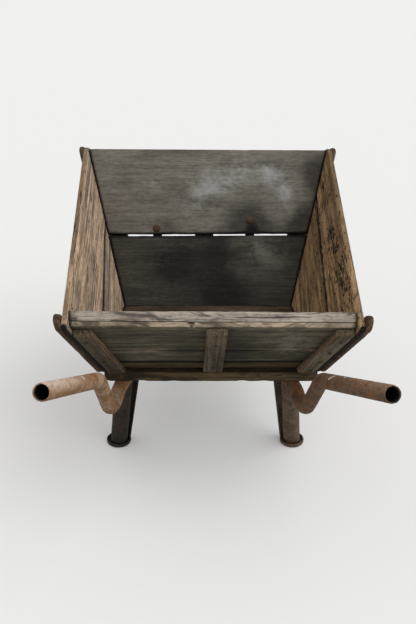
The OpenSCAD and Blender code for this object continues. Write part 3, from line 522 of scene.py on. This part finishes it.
def build_grain(t, g, out):
    """Growth bands, fine lines and fibres drawn out along the grain, over broad stains, with dark drying
    cracks and flecks. A stain above 0 is a drift of dust, and below 0 it is soaked dirt, dark joints
    and painted shade, all broken up by the wood's own pattern. Worn corners and the board's upper edge
    go to the edge colour."""
    place, stained_and_shaded = g.outputs["Grain"], g.outputs["Stain"]
    broad = noise(t, stretched(t, place, 6.0, 16.0), 1.0, 6.0, 0.66, 0.8)
    band = noise(t, stretched(t, place, 2.6, 52.0), 1.0, 4.0, 0.62, 0.6)
    streak = noise(t, stretched(t, place, 5.0, 170.0), 1.0, 5.0, 0.68, 0.4)
    fibre = noise(t, stretched(t, place, 26.0, 520.0), 1.0, 3.0, 0.7)
    crack = noise(t, stretched(t, place, 2.6, 60.0), 1.0, 3.0, 0.5, 0.9)
    fleck = noise(t, stretched(t, place, 44.0, 130.0), 1.0, 4.0, 0.66, 1.2)
    cloud = noise(t, stretched(t, place, 20.0, 30.0), 1.0, 8.0, 0.76, 0.15)
    smudge = noise(t, stretched(t, place, 70.0, 120.0), 1.0, 4.0, 0.7)
    line = calc("ABSOLUTE", t, minus(t, crack, 0.53))
    line = times(t, step(t, line, 0.016, 0.003), step(t, broad, 0.44, 0.56))
    line = times(t, line, g.outputs["Cracks"])
    soaked_and_shaded = larger(t, times(t, stained_and_shaded, -1.0), 0.0)
    spot = plus(t, fleck, times(t, soaked_and_shaded, 0.13))
    spot = times(t, step(t, spot, 0.575, 0.65), g.outputs["Flecks"])
    ring = plus(t, times(t, streak, 0.8), band)
    light = times(t, step(t, ring, 0.92, 1.02), g.outputs["Streaks"])
    deep = times(t, step(t, ring, 0.88, 0.78), g.outputs["Streaks"])
    paler = times(t, step(t, broad, 0.50, 0.68), g.outputs["Blotches"])
    murk = times(t, step(t, broad, 0.50, 0.32), g.outputs["Blotches"])
    # Soaked dirt and painted shade pull the wood towards the dark colour.
    dirt_and_shade = step(t, plus(t, cloud, times(t, soaked_and_shaded, 0.40)), 0.50, 0.80)
    dirt_and_shade = times(t, smaller(t, times(t, soaked_and_shaded, 1.5), 1.0), times(t, dirt_and_shade, g.outputs["Soak"]))
    colour = blend(t, light, g.outputs["Middle"], g.outputs["Pale"])
    colour = blend(t, paler, colour, g.outputs["Pale"])
    colour = blend(t, deep, colour, g.outputs["Dark"])
    colour = blend(t, murk, colour, g.outputs["Dark"])
    colour = blend(t, times(t, dirt_and_shade, 0.85), colour, shade(t, g.outputs["Dark"], (0.5, 0.5, 0.54, 1.0)))
    tone = spread(t, fibre, 0.3, 0.7, 0.74, 1.26)
    mottle = spread(t, plus(t, times(t, cloud, 0.5), times(t, smudge, 0.5)), 0.34, 0.66, 0.70, 1.32)
    colour = shade(t, shade(t, colour, tone), mottle)
    wisp = plus(t, times(t, cloud, 1.3), times(t, smudge, 0.3))
    dust = step(t, plus(t, wisp, times(t, stained_and_shaded, 0.34)), 0.78, 1.30)
    dust = times(t, dust, times(t, larger(t, stained_and_shaded, 0.0), 1.4))
    colour = blend(t, smaller(t, dust, 1.0), colour, g.outputs["Dust"])
    rubbed = times(t, g.outputs["Worn"], step(t, streak, 0.36, 0.58))
    crown = times(t, g.outputs["Top"], step(t, broad, 0.20, 0.34))
    grimed = larger(t, deep, times(t, step(t, broad, 0.50, 0.40), 0.8))
    edge = shade(t, blend(t, grimed, g.outputs["Edge"], g.outputs["Dark"]), tone)
    colour = blend(t, larger(t, rubbed, crown), colour, shade(t, edge, mottle))
    black = larger(t, larger(t, line, spot), step(t, soaked_and_shaded, 1.0, 1.15))
    colour = blend(t, black, colour, (0.010, 0.008, 0.007, 1.0))
    t.links.new(colour, out.inputs["Colour"])
    height = plus(t, times(t, streak, 0.5), times(t, fibre, 0.4))
    height = minus(t, height, times(t, larger(t, line, spot), 0.6))
    t.links.new(height, out.inputs["Height"])
    t.links.new(spread(t, streak, 0.3, 0.7, 0.92, 0.74), out.inputs["Roughness"])


build_grain(grain_tree, grain_in, grain_out)


def wood_finish(name, middle, pale, dark, edge, streaks, cracks, flecks, blotches, dust=(150, 146, 140),
                soak=1.0):
    """Weathered wood in four colours and its dust, in a pattern that follows the board's attributes."""
    finish, tree, shader = new_finish(name, specular=0.15)
    grain = wire(tree, "ShaderNodeGroup", {"node_tree": grain_tree},
                 Grain=attribute(tree, "grain", "Vector"), Worn=attribute(tree, "worn"),
                 Top=attribute(tree, "top"), Stain=attribute(tree, "stain"), Middle=srgb(*middle),
                 Pale=srgb(*pale), Dark=srgb(*dark), Edge=srgb(*edge), Dust=srgb(*dust),
                 Streaks=streaks, Cracks=cracks, Flecks=flecks, Blotches=blotches, Soak=soak)
    dress(tree, shader, grain, 0.6, 0.0015)
    return finish


def board_faces(node):
    """A CAD board's two broad faces: its three directions (along, across, through) and each face's outline.
    The broad faces' normal holds most area, and the grain runs along their longest edge."""
    mesh = cad[node].data
    points = np.empty(len(mesh.vertices) * 3, np.float32)
    mesh.vertices.foreach_get("co", points)
    points = points.reshape(-1, 3).astype(float)
    area, normal = np.empty(len(mesh.polygons)), np.empty(len(mesh.polygons) * 3)
    mesh.polygons.foreach_get("area", area)
    mesh.polygons.foreach_get("normal", normal)
    normal = normal.reshape(-1, 3)
    through = normal[np.argmax(np.abs(normal @ normal.T > 0.999) @ area)]
    depth = points @ through
    corners = np.empty(len(mesh.polygons) * 3, int)
    mesh.polygons.foreach_get("vertices", corners)
    corners = corners.reshape(-1, 3)
    broad = corners[np.abs(normal @ through) > 0.999]
    # Each place gets a number of its own. An edge that only one triangle has is on the rim.
    place = np.round(points * 1e4).astype(int) @ (1, 7919, 104729)
    edges = np.concatenate([broad[:, [0, 1]], broad[:, [1, 2]], broad[:, [2, 0]]])
    ends = np.sort(place[edges], axis=1)
    _, first, count = np.unique(ends, axis=0, return_index=True, return_counts=True)
    rim = edges[first[count == 1]]
    span = points[rim[:, 1]] - points[rim[:, 0]]
    along = span[np.argmax(np.linalg.norm(span, axis=1))]
    along -= (along @ through) * through
    along /= np.linalg.norm(along)
    along *= np.sign(along @ (1.0, 0.3, 0.2))
    across = np.cross(through, along)
    if across[2] < 0:
        across, through = -across, -through
        depth = -depth
    flat = np.stack([points @ along, points @ across], axis=1)
    turn = np.linspace(0, 2 * np.pi, 2880, endpoint=False)
    outlines = []
    for side in (depth < depth.min() + 3e-4, depth > depth.max() - 3e-4):
        face = np.unique(np.round(flat[side], 5), axis=0)
        far = np.argmax(face @ np.stack([np.cos(turn), np.sin(turn)]), axis=0)
        outlines.append(face[far[np.append(True, far[1:] != far[:-1])]])
    return (along, across, through), outlines, (depth.min(), depth.max())


def patch(outline, u, v):
    """Points of a four-cornered face at u along and v across, as in a Coons patch: the two long edges are
    joined straight across, the two short ones straight along, and the corners' own share is taken off
    once."""
    low, high = outline.min(axis=0), outline.max(axis=0)
    even = (outline - low) / (high - low)
    corner = [int(np.argmax(even @ d)) for d in ((-1, -1), (1, -1), (1, 1), (-1, 1))]

    def edge(a, b, t):
        run = outline[a:b + 1] if b >= a else np.concatenate([outline[a:], outline[:b + 1]])
        far = np.concatenate([[0], np.cumsum(np.linalg.norm(np.diff(run, axis=0), axis=1))])
        return np.stack([np.interp(t * far[-1], far, run[:, k]) for k in range(2)], axis=-1)

    c0, c1, c2, c3 = corner
    bottom, top = edge(c0, c1, u), edge(c2, c3, 1 - u)
    right, left = edge(c1, c2, v), edge(c3, c0, 1 - v)
    u, v = u[:, None], v[:, None]
    p = [outline[k] for k in corner]
    return ((1 - v) * bottom + v * top + (1 - u) * left + u * right
            - ((1 - u) * (1 - v) * p[0] + u * (1 - v) * p[1] + u * v * p[2] + (1 - u) * v * p[3]))


def block_skin(counts):
    """The outer points of a block of lattice points, as their three indices, and the faces between them."""
    index = np.stack(np.meshgrid(*(np.arange(n) for n in counts), indexing="ij"), axis=-1)
    number = np.arange(np.prod(counts)).reshape(counts)
    outside = ((index == 0) | (index == np.array(counts) - 1)).any(axis=-1)
    faces = []
    for axis in range(3):
        for end in (0, -1):
            sheet = np.take(number, end, axis=axis)
            if axis == 1:
                sheet = sheet.T
            corners = (sheet[:-1, :-1], sheet[1:, :-1], sheet[1:, 1:], sheet[:-1, 1:])
            quad = np.stack(corners, axis=-1).reshape(-1, 4)
            faces.append(quad if end else quad[:, ::-1])
    place = np.cumsum(outside.ravel()) - 1
    return index[outside], place[np.concatenate(faces)]


def lattice_lines(length, round_r, spacing):
    """Distances along one side of a board: close together on the rounded corners, and even between them."""
    middle = np.linspace(round_r, length - round_r, max(2, int(round((length - 2 * round_r) / spacing)) + 1))
    return np.concatenate([[0, 0.35 * round_r], middle, [length - 0.35 * round_r, length]])


# How deep the ridges of grain and the ragged ends are cut, and how far wear reaches from an edge.
RIDGE_DEPTH, RAGGED, WEAR_REACH = 0.0004, 0.0015, 0.0045
# How far a seam's dark joint line reaches, how far its haze of painted shade reaches, and how far
# below a notch its drop fades.
SEAM_LINE, SEAM_SHADE_REACH, NOTCH_FADE = 0.0042, 0.018, 0.012


def weathered_board(name, finish, seed, wear=0.0016, round_r=0.0022, spacing=(0.007, 0.005),
                    stains=(), seams_and_shade=(0.0, 0.0, 0.0), notch=None):
    """A board in the place of a CAD board. Its two broad faces are four-cornered patches and the wood is
    drawn straight between them. The corners are rounded by pulling each point of a square block to the
    nearest point of a block that is smaller by the corner's radius, then out again by that radius. Ridges
    of grain, chipped edges and ragged ends are cut inwards only. It carries its grain directions, its wear,
    its upper edge, and its stains with painted shade. Each stain is (x, y, z, radius, amount) and fades as
    exp(-distance squared / radius squared). The seams give how dark the board goes along both ends, the
    lower edge and the upper edge: a dark joint line with a wider haze of painted shade, and where it is
    dark nothing is worn. notch is (x, y, z, half width, depth) of a piece broken out of the upper edge."""
    (along, across, through), outlines, depths = board_faces(name)
    size = np.array([*np.ptp(outlines[0], axis=0), depths[1] - depths[0]])
    lines = [lattice_lines(extent, round_r, gap) for extent, gap in zip(size, (*spacing, 0.006))]
    index, faces = block_skin([len(x) for x in lines])
    square = np.stack([lines[k][index[:, k]] for k in range(3)], axis=1)
    core = np.clip(square, round_r, size - round_r)
    outward = square - core
    outward /= np.linalg.norm(outward, axis=1, keepdims=True)
    rounded = core + round_r * outward
    u, v, w = (rounded / size).T
    flat = (1 - w)[:, None] * patch(outlines[0], u, v) + w[:, None] * patch(outlines[1], u, v)
    local = np.column_stack([flat, depths[0] + w * size[2]])
    ridges = 0.6 * soft_noise(local * (9, 330, 330), seed)
    ridges += 0.4 * soft_noise(local * (5, 120, 120), seed + 1)
    to_edge = np.sort(np.minimum(rounded, size - rounded), axis=1)[:, 1]
    nearness = np.exp(-to_edge / WEAR_REACH)
    chip = soft_noise(local * (38, 60, 60), seed + 2)
    chip = np.clip((chip - 0.62) / 0.3, 0, 1) + 0.35 * soft_noise(local * (120, 90, 90), seed + 3) ** 2
    end = np.abs(outward[:, 0])
    fray = end * RAGGED * soft_noise(local * (0, 210, 210), seed + 4)
    cut = RIDGE_DEPTH * ridges * (1 - end) + wear * nearness * chip + fray
    local -= outward * cut[:, None]
    if notch:
        away = np.abs(local[:, 0] - np.array(notch[:3]) @ along) / notch[3]
        below = size[1] - rounded[:, 1]
        local[:, 1] -= notch[4] * np.clip(1.5 - away, 0, 1) * np.exp(-below / NOTCH_FADE)
    points = local @ np.stack([along, across, through])
    piece = add_mesh(name + "_wood", points, faces, "barrow", [name], finish)
    keep(piece, "grain", local + np.random.default_rng(seed).random(3) * 7, "FLOAT_VECTOR", "vector")
    stain = np.zeros(len(points))
    to_end = np.minimum(rounded[:, 0], size[0] - rounded[:, 0])
    # Along each seam: a dark joint line, and a wider haze of painted shade.
    for amount, away in zip(seams_and_shade, (to_end, rounded[:, 1], size[1] - rounded[:, 1])):
        stain -= amount * (np.exp(-(away / SEAM_LINE) ** 2) + 0.25 * np.exp(-away / SEAM_SHADE_REACH))
    for x, y, z, radius, amount in stains:
        stain += amount * np.exp(-((points - (x, y, z)) ** 2).sum(axis=1) / radius ** 2)
    bare = np.clip(1 + 3 * stain, 0, 1)
    keep(piece, "stain", np.clip(stain, -1.5, 1))
    keep(piece, "top", np.clip(outward[:, 1] * 1.2, 0, 1) * bare)
    keep(piece, "worn", np.clip(nearness * (0.25 + 1.3 * chip), 0, 1) * (1 - 0.5 * end) * bare)


beam_wood = wood_finish("beam wood", (52, 43, 28), (78, 66, 46), (24, 19, 13), (78, 66, 46),
                        0.9, 0.7, 0.3, 0.5)
weathered_board("rear_cross_beam", beam_wood, 100, wear=0.003)
weathered_board("front_cross_beam", beam_wood, 105, wear=0.003)
bolt_finish = rust_finish("bolt rust", (74, 54, 40), (98, 76, 58), (42, 32, 26), (106, 68, 42),
                          0.4, 0.6, 0.4)
for name in ("beam_bolts", "beam_washers", "beam_nuts"):
    cad[name].data.materials[0] = bolt_finish


# ---------------------------------------------------------------------------------------------
# Hopper floor. Three boards lie across the beams and are nailed down. They are scoured grey
# along the middle, and dark along their ends and edges with old earth and painted shade.

floor_wood = wood_finish("floor wood", (70, 58, 46), (96, 82, 66), (40, 33, 26), (96, 82, 66),
                         0.6, 0.6, 0.4, 0.6)
# The seams darken each board's ends and edges: dark joints, old earth and painted shade.
for seed, name in enumerate(("floor_rear_board", "floor_middle_board", "floor_front_board")):
    weathered_board(name, floor_wood, 120 + 5 * seed, seams_and_shade=(1.5, 1.4, 1.4))


# ---------------------------------------------------------------------------------------------
# Headboard. Two wide planks lean forward, with an open gap where they have shrunk, and three
# cleats nailed behind them. The upper plank is dusty grey, the lower one nearly black, partly as
# painted shade deep in the hopper.

head_upper_wood = wood_finish("upper headboard wood", (112, 107, 98), (133, 128, 119), (82, 77, 69),
                              (128, 112, 94), 0.28, 0.2, 0.1, 0.55, dust=(158, 157, 154))
# The lower plank is darker partly as painted shade, deep in the hopper.
head_lower_wood = wood_finish("lower headboard wood", (66, 64, 56), (85, 84, 75), (44, 44, 40),
                              (70, 62, 52), 0.28, 0.2, 0.1, 0.55, dust=(108, 104, 97))
cleat_wood = wood_finish("cleat wood", (70, 60, 47), (98, 86, 70), (42, 35, 27), (104, 92, 76),
                         0.6, 0.6, 0.3, 0.5)
# The dark patches are soaked dirt; the one by the right bolt is also painted shade.
weathered_board("headboard_upper_plank", head_upper_wood, 140, seams_and_shade=(1.5, 1, 0), stains=[
    (0.056, 0.317, 0.578, 0.055, 0.70), (0.000, 0.310, 0.565, 0.050, 0.45),
    (0.120, 0.325, 0.590, 0.045, 0.40), (0.204, 0.318, 0.579, 0.045, 0.80),
    (0.165, 0.330, 0.600, 0.030, 0.50), (0.195, 0.280, 0.506, 0.030, 0.60),
    (0.215, 0.300, 0.545, 0.025, 0.50), (-0.146, 0.315, 0.574, 0.030, 0.50),
    (-0.022, 0.288, 0.522, 0.050, 0.40), (0.095, 0.277, 0.500, 0.080, -0.60),
    (0.275, 0.325, 0.600, 0.055, -0.75), (0.250, 0.268, 0.483, 0.050, -0.80),
    (-0.215, 0.318, 0.580, 0.050, -0.35), (-0.100, 0.262, 0.470, 0.040, -0.45),
    (0.130, 0.262, 0.470, 0.050, -0.60)])
# The dark patches low on this plank are soaked dirt and painted shade, deep in the hopper.
weathered_board("headboard_lower_plank", head_lower_wood, 145, seams_and_shade=(1.5, 0, 1), stains=[
    (-0.094, 0.222, 0.394, 0.080, -0.8), (0.136, 0.238, 0.424, 0.060, 0.95),
    (0.051, 0.180, 0.313, 0.090, -0.8), (0.190, 0.220, 0.390, 0.040, 0.35),
    (-0.120, 0.245, 0.440, 0.040, 0.3), (0.040, 0.235, 0.418, 0.050, -0.6)])
for seed, name in enumerate(("headboard_left_cleat", "headboard_centre_cleat", "headboard_right_cleat")):
    weathered_board(name, cleat_wood, 150 + 5 * seed)


# ---------------------------------------------------------------------------------------------
# Hopper sides. Two planks a side flare outwards, with the joint running along the barrow. The
# left side is bleached and streaked, the right one is golden and flecked with black. A batten
# with a rounded head stands outside each end.

left_wood = wood_finish("left side wood", (165, 141, 117), (221, 192, 160), (106, 100, 98), (124, 102, 76),
                        0.85, 0.8, 0.45, 0.55, dust=(204, 178, 150))
right_wood = wood_finish("right side wood", (149, 119, 85), (193, 159, 117), (88, 72, 55), (134, 110, 84),
                         0.7, 0.6, 1.0, 0.5, dust=(176, 146, 106), soak=0.3)
batten_wood = wood_finish("batten wood", (78, 62, 46), (108, 90, 70), (46, 37, 28), (120, 102, 82),
                          0.6, 0.5, 0.3, 0.5)
SIDE_STAINS = {
    "left": [(-0.283, 0.007, 0.479, 0.040, 0.7), (-0.283, 0.100, 0.500, 0.040, 0.6),
             (-0.283, 0.158, 0.525, 0.035, 0.4), (-0.293, -0.117, 0.476, 0.045, -0.4),
             (-0.269, 0.111, 0.465, 0.030, 0.4)],
    "right": [(0.308, 0.290, 0.586, 0.022, -0.7), (0.305, 0.225, 0.556, 0.028, -0.6),
              (0.302, 0.114, 0.513, 0.035, -0.95), (0.307, 0.050, 0.510, 0.034, -0.98),
              (0.308, -0.020, 0.496, 0.034, -0.98), (0.309, -0.085, 0.480, 0.034, -0.98),
              (0.308, -0.142, 0.460, 0.026, -0.6), (0.270, 0.091, 0.401, 0.030, 0.4)],
}
for seed, side in enumerate(("left", "right")):
    wood = {"left": left_wood, "right": right_wood}[side]
    weathered_board(side + "_side_lower_plank", wood, 170 + 20 * seed,
                    seams_and_shade=(1.2, 0, 1.15), round_r=0.003, stains=SIDE_STAINS[side])
    weathered_board(side + "_side_upper_plank", wood, 175 + 20 * seed,
                    seams_and_shade=(1.2, 1.15, 0), round_r=0.003, stains=SIDE_STAINS[side])
    weathered_board(side + "_rear_batten", batten_wood, 180 + 20 * seed, round_r=0.0045)
    weathered_board(side + "_front_batten", batten_wood, 185 + 20 * seed, round_r=0.0045)


# ---------------------------------------------------------------------------------------------
# Tailboard. Two thick planks face the load, a thinner skin of a strip and two planks is nailed
# outside them, and three cleats hold it all. Its top edge is rubbed pale by the load.

tail_inner_wood = wood_finish("inner tailboard wood", (88, 74, 60), (116, 100, 84), (58, 55, 54),
                              (166, 155, 142), 1.0, 0.8, 0.3, 0.5)
tail_outer_wood = wood_finish("outer tailboard wood", (71, 66, 52), (100, 92, 74), (46, 43, 35),
                              (170, 152, 132), 0.7, 0.45, 0.2, 0.6, dust=(118, 111, 96))
strip_wood = wood_finish("tailboard strip wood", (69, 59, 38), (96, 82, 53), (41, 35, 25), (80, 66, 46),
                         0.5, 0.5, 0.2, 0.4)
tail_cleat_wood = wood_finish("tail cleat wood", (74, 65, 51), (100, 91, 72), (44, 39, 32), (118, 98, 76),
                              0.6, 0.5, 0.3, 0.5)
NOTCH = (-0.0400, -0.2610, 0.4760, 0.0055, 0.009)
TAIL_STAINS = [
    (0.190, -0.205, 0.396, 0.085, 0.85), (-0.211, -0.208, 0.401, 0.040, 0.3),
    (-0.120, -0.190, 0.375, 0.050, 0.3), (0.080, -0.200, 0.390, 0.060, -0.4),
    (-0.060, -0.190, 0.380, 0.050, -0.6), (-0.180, -0.230, 0.430, 0.040, -0.4),
    (0.060, -0.165, 0.340, 0.060, -0.5), (0.250, -0.235, 0.440, 0.040, -0.5)]
for seed, (name, wood, slot, seams_and_shade) in enumerate((
        ("tail_inner_lower_plank", tail_inner_wood, "tail_inner_wood", (1.4, 0, 0.8)),
        ("tail_inner_upper_plank", tail_inner_wood, "tail_inner_wood", (1.0, 0.8, 0)),
        ("tail_outer_bottom_strip", strip_wood, "tail_outer_wood", (0.8, 0, 1.3)),
        ("tail_outer_lower_plank", tail_outer_wood, "tail_outer_wood", (0.8, 1.3, 0.3)),
        ("tail_outer_upper_plank", tail_outer_wood, "tail_outer_wood", (0.8, 0.3, 0)),
        ("tail_left_cleat", tail_cleat_wood, "cleat_wood", (0, 0, 0)),
        ("tail_centre_cleat", tail_cleat_wood, "cleat_wood", (0, 0, 0)),
        ("tail_right_cleat", tail_cleat_wood, "cleat_wood", (0, 0, 0)))):
    upper = name == "tail_outer_upper_plank"
    weathered_board(name, wood, 220 + 5 * seed, seams_and_shade=seams_and_shade, stains=TAIL_STAINS,
                    notch=NOTCH if upper else None, spacing=(0.003, 0.004) if upper else (0.007, 0.005))


# ---------------------------------------------------------------------------------------------
# Ironwork on the hopper. Two straps run up behind the headboard from the shafts and are held
# by bolts with domed heads inside it. Cut nails hold the boards.

strap_finish = rust_finish("strap rust", (78, 60, 48), (110, 88, 70), (42, 33, 27), (112, 74, 46),
                           0.5, 0.6, 0.5)
nail_finish = rust_finish("nail rust", (58, 45, 36), (88, 68, 52), (34, 27, 23), (92, 60, 40), 0.4, 0.6, 0.4)
for names, finish in ((("left_front_stay", "right_front_stay"), strap_finish),
                      (("stay_bolts", "stay_nuts"), bolt_finish),
                      (("tail_nails", "headboard_nails", "side_nails", "floor_nails"), nail_finish)):
    for name in names:
        cad[name].data.materials[0] = finish


# ---------------------------------------------------------------------------------------------
# Studio. A plain pale floor, a wide soft light from high on the right, and an even pale sky. To
# the eye the floor and the sky are a little paler than they are to the barrow, so that the
# shadow stays light.

FLOOR_SIZE, SKY_STRENGTH, GLOW = 120.0, 0.70, 0.16


def seen_glow(tree):
    """The glow, for a ray from the camera or by way of a mirror or glass. For all other light it is 0."""
    path = tree.nodes.new("ShaderNodeLightPath").outputs
    seen = larger(tree, path["Is Camera Ray"], path["Is Glossy Ray"])
    return times(tree, larger(tree, seen, path["Is Transmission Ray"]), GLOW)


bpy.ops.mesh.primitive_plane_add(size=FLOOR_SIZE)
studio_floor = bpy.context.object
studio_floor.name = "studio_floor"
floor_finish, floor_tree, floor_shader = new_finish("studio floor", roughness=0.9, specular=0.1)
floor_shader.inputs["Base Color"].default_value = (0.70, 0.70, 0.69, 1.0)
floor_shader.inputs["Emission Color"].default_value = (1.0, 1.0, 1.0, 1.0)
floor_tree.links.new(seen_glow(floor_tree), floor_shader.inputs["Emission Strength"])
studio_floor.data.materials.append(floor_finish)

world = bpy.data.worlds.new("soft sky")
world.use_nodes = True
sky_tree = world.node_tree
sky = sky_tree.nodes["Background"]
sky.inputs["Color"].default_value = (1.0, 1.0, 1.0, 1.0)
sky_tree.links.new(plus(sky_tree, seen_glow(sky_tree), SKY_STRENGTH), sky.inputs["Strength"])
bpy.context.scene.world = world

key = bpy.data.lights.new("key", "SUN")
key.energy, key.angle = 1.25, math.radians(60)
key_piece = bpy.data.objects.new("key", key)
key_piece.rotation_euler = Vector((0.75, -0.30, 1.0)).to_track_quat("Z", "Y").to_euler()
bpy.context.scene.collection.objects.link(key_piece)

camera_data = bpy.data.cameras.new("camera")
camera_data.lens, camera_data.sensor_width = 50.0, 36.0
camera = bpy.data.objects.new("camera", camera_data)
YAW, PITCH, ROLL = math.radians(-1.642), math.radians(28.134), math.radians(0.948)
camera.matrix_world = (Matrix.Translation((-0.051, -1.845, 1.346)) @ Matrix.Rotation(YAW, 4, "Z")
                       @ Matrix.Rotation(math.pi / 2 - PITCH, 4, "X") @ Matrix.Rotation(ROLL, 4, "Z"))
bpy.context.scene.collection.objects.link(camera)
bpy.context.scene.camera = camera
bpy.context.scene.view_settings.view_transform = "Standard"
